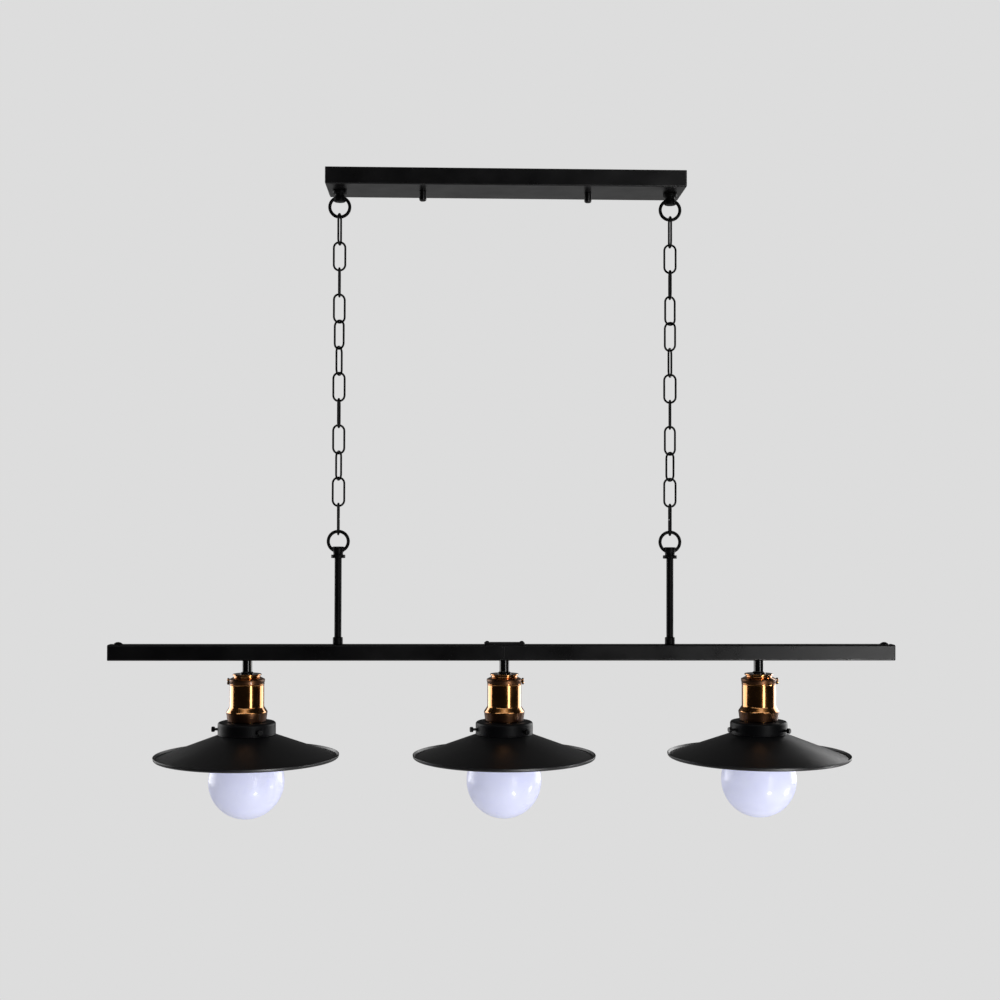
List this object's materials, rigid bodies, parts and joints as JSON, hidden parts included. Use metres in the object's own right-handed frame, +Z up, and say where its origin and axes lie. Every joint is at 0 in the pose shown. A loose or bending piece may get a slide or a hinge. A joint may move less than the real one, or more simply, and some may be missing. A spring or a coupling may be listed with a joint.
{
  "type": "linear island pendant",
  "caption": "Linear ceiling pendant: a square beam hung on chains from a box canopy, with copper lampholders, shallow conical shades and globe bulbs.",
  "frame": {"origin": "middle of the canopy's top edge, in the ceiling plane, at the centre of the strap's ceiling screws", "axes": "+Z up into the ceiling, +X along the beam, -Y is the front"},
  "size_m": [0.945, 0.22, 0.7746],
  "materials": {
    "black_paint": "satin",
    "zinc_steel": "satin",
    "copper": "polished",
    "brass": "satin",
    "porcelain": "gloss",
    "opal_glass": "gloss",
    "bulb_cap_metal": "satin"
  },
  "bodies": {
    "canopy": {"canopy_box": "black_paint", "mounting_strap": "zinc_steel", "strap_studs": "zinc_steel", "cap_nuts": "black_paint", "hanger_nuts": "zinc_steel", "left_hanger_loop": "black_paint", "right_hanger_loop": "black_paint"},
    "left_top_link": {"left_top_link": "black_paint"},
    "left_chain": {"left_chain": "black_paint"},
    "left_bottom_link": {"left_bottom_link": "black_paint"},
    "right_top_link": {"right_top_link": "black_paint"},
    "right_chain": {"right_chain": "black_paint"},
    "right_bottom_link": {"right_bottom_link": "black_paint"},
    "beam": {"left_beam_loop": "black_paint", "right_beam_loop": "black_paint", "left_rod": "black_paint", "right_rod": "black_paint", "rod_collars": "black_paint", "rod_nuts": "zinc_steel", "left_beam_tube": "black_paint", "right_beam_tube": "black_paint", "end_caps": "black_paint", "end_screws": "black_paint", "splice_sleeve": "zinc_steel", "splice_plate": "black_paint", "splice_screws": "black_paint", "stem_nuts": "zinc_steel", "cap_screws": "copper", "socket_cores": "porcelain", "socket_contacts": "brass", "left_stem": "black_paint", "left_holder_cap": "copper", "left_holder_body": "copper", "left_gallery": "black_paint", "left_shade": "black_paint", "middle_stem": "black_paint", "middle_holder_cap": "copper", "middle_holder_body": "copper", "middle_gallery": "black_paint", "middle_shade": "black_paint", "right_stem": "black_paint", "right_holder_cap": "copper", "right_holder_body": "copper", "right_gallery": "black_paint", "right_shade": "black_paint"},
    "bulb_left": {"left_bulb_globe": "opal_glass", "left_bulb_cap": "bulb_cap_metal"},
    "left_thumbscrew_1": {"left_thumbscrew_1": "black_paint"},
    "left_thumbscrew_2": {"left_thumbscrew_2": "black_paint"},
    "left_thumbscrew_3": {"left_thumbscrew_3": "black_paint"},
    "bulb_middle": {"middle_bulb_globe": "opal_glass", "middle_bulb_cap": "bulb_cap_metal"},
    "middle_thumbscrew_1": {"middle_thumbscrew_1": "black_paint"},
    "middle_thumbscrew_2": {"middle_thumbscrew_2": "black_paint"},
    "middle_thumbscrew_3": {"middle_thumbscrew_3": "black_paint"},
    "bulb_right": {"right_bulb_globe": "opal_glass", "right_bulb_cap": "bulb_cap_metal"},
    "right_thumbscrew_1": {"right_thumbscrew_1": "black_paint"},
    "right_thumbscrew_2": {"right_thumbscrew_2": "black_paint"},
    "right_thumbscrew_3": {"right_thumbscrew_3": "black_paint"}
  },
  "joints": [
    {"name": "left_fore_aft_swing", "type": "hinge", "parent": "canopy", "child": "left_top_link", "pos_m": [-0.2, 0, -0.05205], "axis": [1, 0, 0], "range_deg": [-20, 20]},
    {"name": "left_sideways_sway", "type": "hinge", "parent": "left_top_link", "child": "left_chain", "pos_m": [-0.2, 0, -0.08535], "axis": [0, 1, 0], "range_deg": [-20, 20]},
    {"name": "left_bottom_link_lean", "type": "hinge", "parent": "left_chain", "child": "left_bottom_link", "pos_m": [-0.2, 0, -0.39771], "axis": [0, 1, 0], "range_deg": [-20, 20]},
    {"name": "right_fore_aft_swing", "type": "hinge", "parent": "canopy", "child": "right_top_link", "pos_m": [0.2, 0, -0.05205], "axis": [1, 0, 0], "range_deg": [-20, 20]},
    {"name": "right_sideways_sway", "type": "hinge", "parent": "right_top_link", "child": "right_chain", "pos_m": [0.2, 0, -0.08535], "axis": [0, 1, 0], "range_deg": [-20, 20]},
    {"name": "right_bottom_link_lean", "type": "hinge", "parent": "right_chain", "child": "right_bottom_link", "pos_m": [0.2, 0, -0.39771], "axis": [0, 1, 0], "range_deg": [-20, 20]},
    {"name": "beam_roll", "type": "hinge", "parent": "left_bottom_link", "child": "beam", "pos_m": [-0.2, 0, -0.43106], "axis": [1, 0, 0], "range_deg": [-20, 20]},
    {"name": "left_bulb_out", "type": "slide", "parent": "beam", "child": "bulb_left", "axis": [0, 0, -1], "range_m": [0, 0.026]},
    {"name": "left_thumbscrew_1_out", "type": "slide", "parent": "beam", "child": "left_thumbscrew_1", "axis": [-1, 0, 0], "range_m": [0, 0.003]},
    {"name": "left_thumbscrew_2_out", "type": "slide", "parent": "beam", "child": "left_thumbscrew_2", "axis": [0.5, 0.866, 0], "range_m": [0, 0.003]},
    {"name": "left_thumbscrew_3_out", "type": "slide", "parent": "beam", "child": "left_thumbscrew_3", "axis": [0.5, -0.866, 0], "range_m": [0, 0.003]},
    {"name": "middle_bulb_out", "type": "slide", "parent": "beam", "child": "bulb_middle", "axis": [0, 0, -1], "range_m": [0, 0.026]},
    {"name": "middle_thumbscrew_1_out", "type": "slide", "parent": "beam", "child": "middle_thumbscrew_1", "axis": [-0.9848, -0.1736, 0], "range_m": [0, 0.003]},
    {"name": "middle_thumbscrew_2_out", "type": "slide", "parent": "beam", "child": "middle_thumbscrew_2", "axis": [0.6428, -0.766, 0], "range_m": [0, 0.003]},
    {"name": "middle_thumbscrew_3_out", "type": "slide", "parent": "beam", "child": "middle_thumbscrew_3", "axis": [0.342, 0.9397, 0], "range_m": [0, 0.003]},
    {"name": "right_bulb_out", "type": "slide", "parent": "beam", "child": "bulb_right", "axis": [0, 0, -1], "range_m": [0, 0.026]},
    {"name": "right_thumbscrew_1_out", "type": "slide", "parent": "beam", "child": "right_thumbscrew_1", "axis": [-0.9397, -0.342, 0], "range_m": [0, 0.003]},
    {"name": "right_thumbscrew_2_out", "type": "slide", "parent": "beam", "child": "right_thumbscrew_2", "axis": [0.766, -0.6428, 0], "range_m": [0, 0.003]},
    {"name": "right_thumbscrew_3_out", "type": "slide", "parent": "beam", "child": "right_thumbscrew_3", "axis": [0.1736, 0.9848, 0], "range_m": [0, 0.003]}
  ],
  "couplings": [
    {"joint": "right_fore_aft_swing", "follows": "left_fore_aft_swing", "ratio": 1},
    {"joint": "right_sideways_sway", "follows": "left_sideways_sway", "ratio": 1},
    {"joint": "left_bottom_link_lean", "follows": "left_sideways_sway", "ratio": -1},
    {"joint": "right_bottom_link_lean", "follows": "left_sideways_sway", "ratio": -1}
  ]
}
